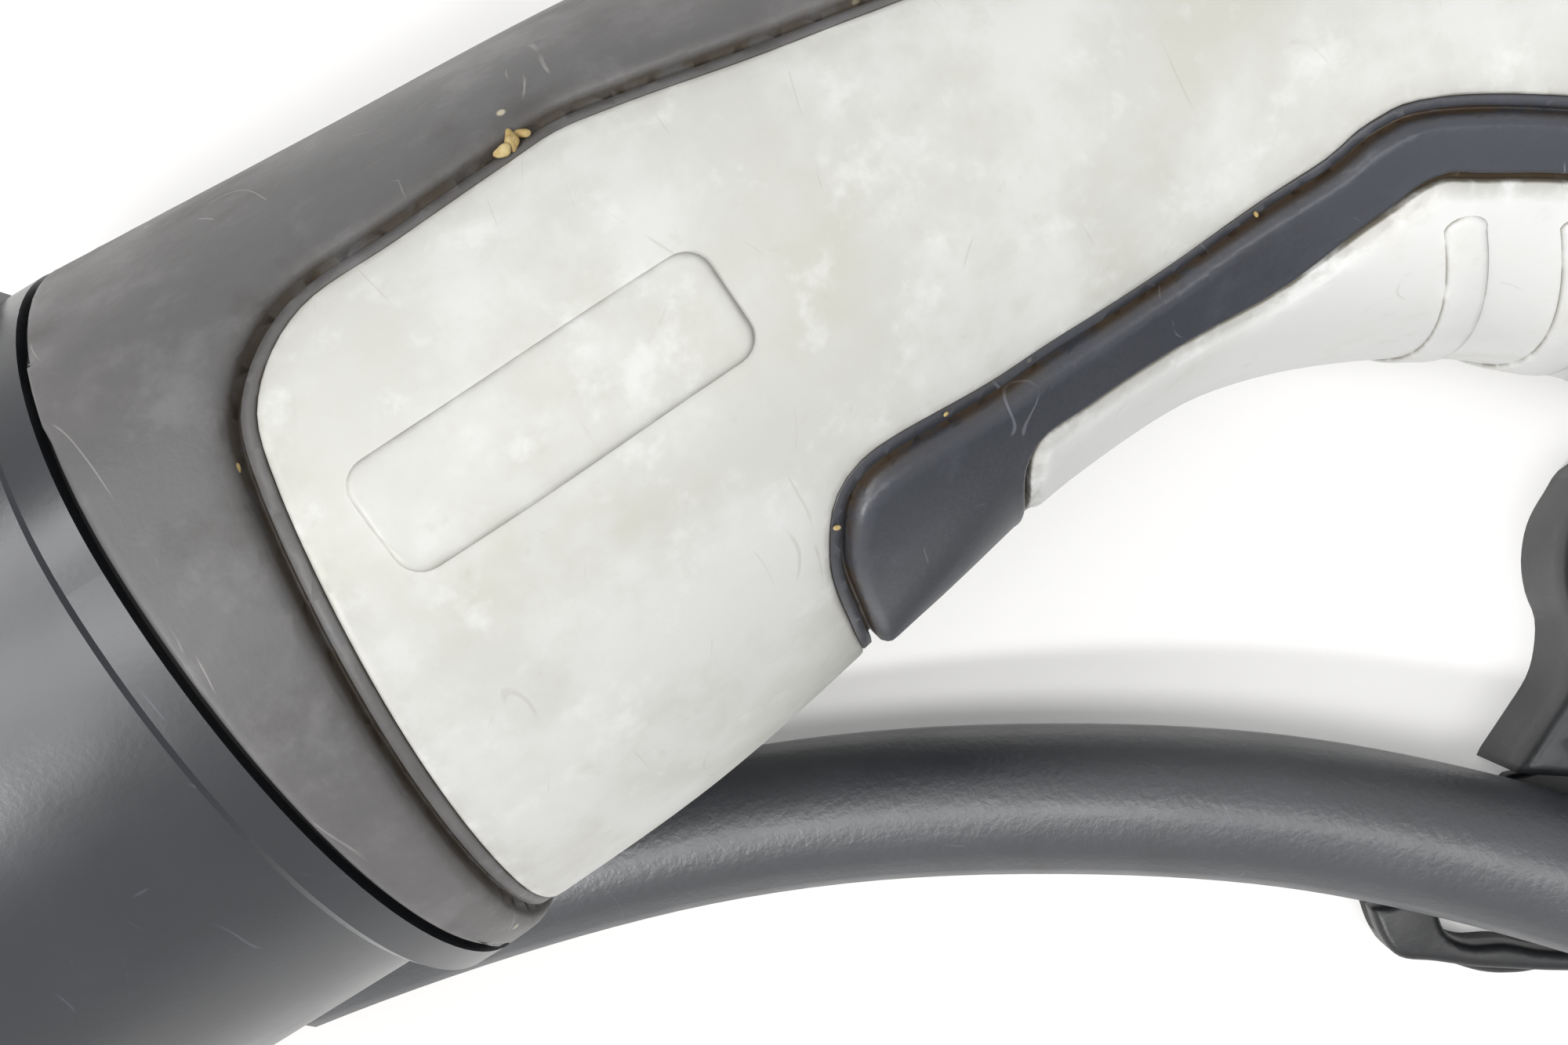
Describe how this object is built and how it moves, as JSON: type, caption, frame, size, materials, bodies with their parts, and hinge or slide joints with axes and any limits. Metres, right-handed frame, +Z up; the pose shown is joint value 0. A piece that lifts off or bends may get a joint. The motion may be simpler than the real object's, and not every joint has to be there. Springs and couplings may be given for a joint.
{
  "type": "electric vehicle charging connector",
  "caption": "Hand-held vehicle charging connector with a seven-pin socket face and a curved two-tone grip, lying on its side with its coiled cable and a rubber strap.",
  "frame": {"origin": "middle of the connector's footprint on the surface it lies on", "axes": "+Z up, away from the surface; +X from the mating face towards the cable end; +Y towards the connector's flat-topped side"},
  "size_m": [0.2587, 0.3116, 0.0612],
  "materials": {
    "nose_plastic": "satin",
    "seal_rubber": "matte",
    "dark_plastic": "matte",
    "pale_plastic": "satin",
    "band_plastic": "matte",
    "inlay_plastic": "satin",
    "screw_steel": "satin",
    "carrier_plastic": "matte",
    "contact_brass": "satin",
    "core_brown": "satin",
    "core_black": "satin",
    "core_grey": "satin",
    "core_blue": "satin",
    "core_earth": "satin",
    "core_red": "satin",
    "resistor": "satin",
    "cap_plastic": "matte",
    "sleeve_rubber": "matte",
    "clamp_plastic": "matte",
    "cable_jacket": "matte",
    "strap_rubber": "matte",
    "ferrule_tin": "satin"
  },
  "bodies": {
    "root": {"bend_sleeve": "sleeve_rubber", "cable_clamp_lower": "clamp_plastic", "cable_clamp_upper": "clamp_plastic", "cable_coil": "cable_jacket", "cable_lead": "cable_jacket", "cable_run": "cable_jacket", "cable_sheath": "cable_jacket", "cable_strap": "strap_rubber", "clamp_screws": "screw_steel", "coding_resistor": "resistor", "conductor_cp": "core_red", "conductor_l1": "core_brown", "conductor_l2": "core_black", "conductor_l3": "core_grey", "conductor_n": "core_blue", "conductor_pe": "core_earth", "contact_carrier": "carrier_plastic", "contact_cp": "contact_brass", "contact_l1": "contact_brass", "contact_l2": "contact_brass", "contact_l3": "contact_brass", "contact_n": "contact_brass", "contact_pe": "contact_brass", "contact_pp": "contact_brass", "contact_retainer": "carrier_plastic", "end_cap": "cap_plastic", "ferrules": "ferrule_tin", "flange_seal": "seal_rubber", "front_housing": "dark_plastic", "gland_seal": "seal_rubber", "grip_band": "band_plastic", "grip_inlay": "inlay_plastic", "housing_screws": "screw_steel", "nose_sleeve": "nose_plastic", "open_core_cp": "core_red", "open_core_l1": "core_brown", "open_core_l2": "core_black", "open_core_l3": "core_grey", "open_core_n": "core_blue", "open_core_pe": "core_earth", "retainer_screws": "screw_steel", "side_shell_left": "pale_plastic", "side_shell_right": "pale_plastic"}
  },
  "joints": []
}
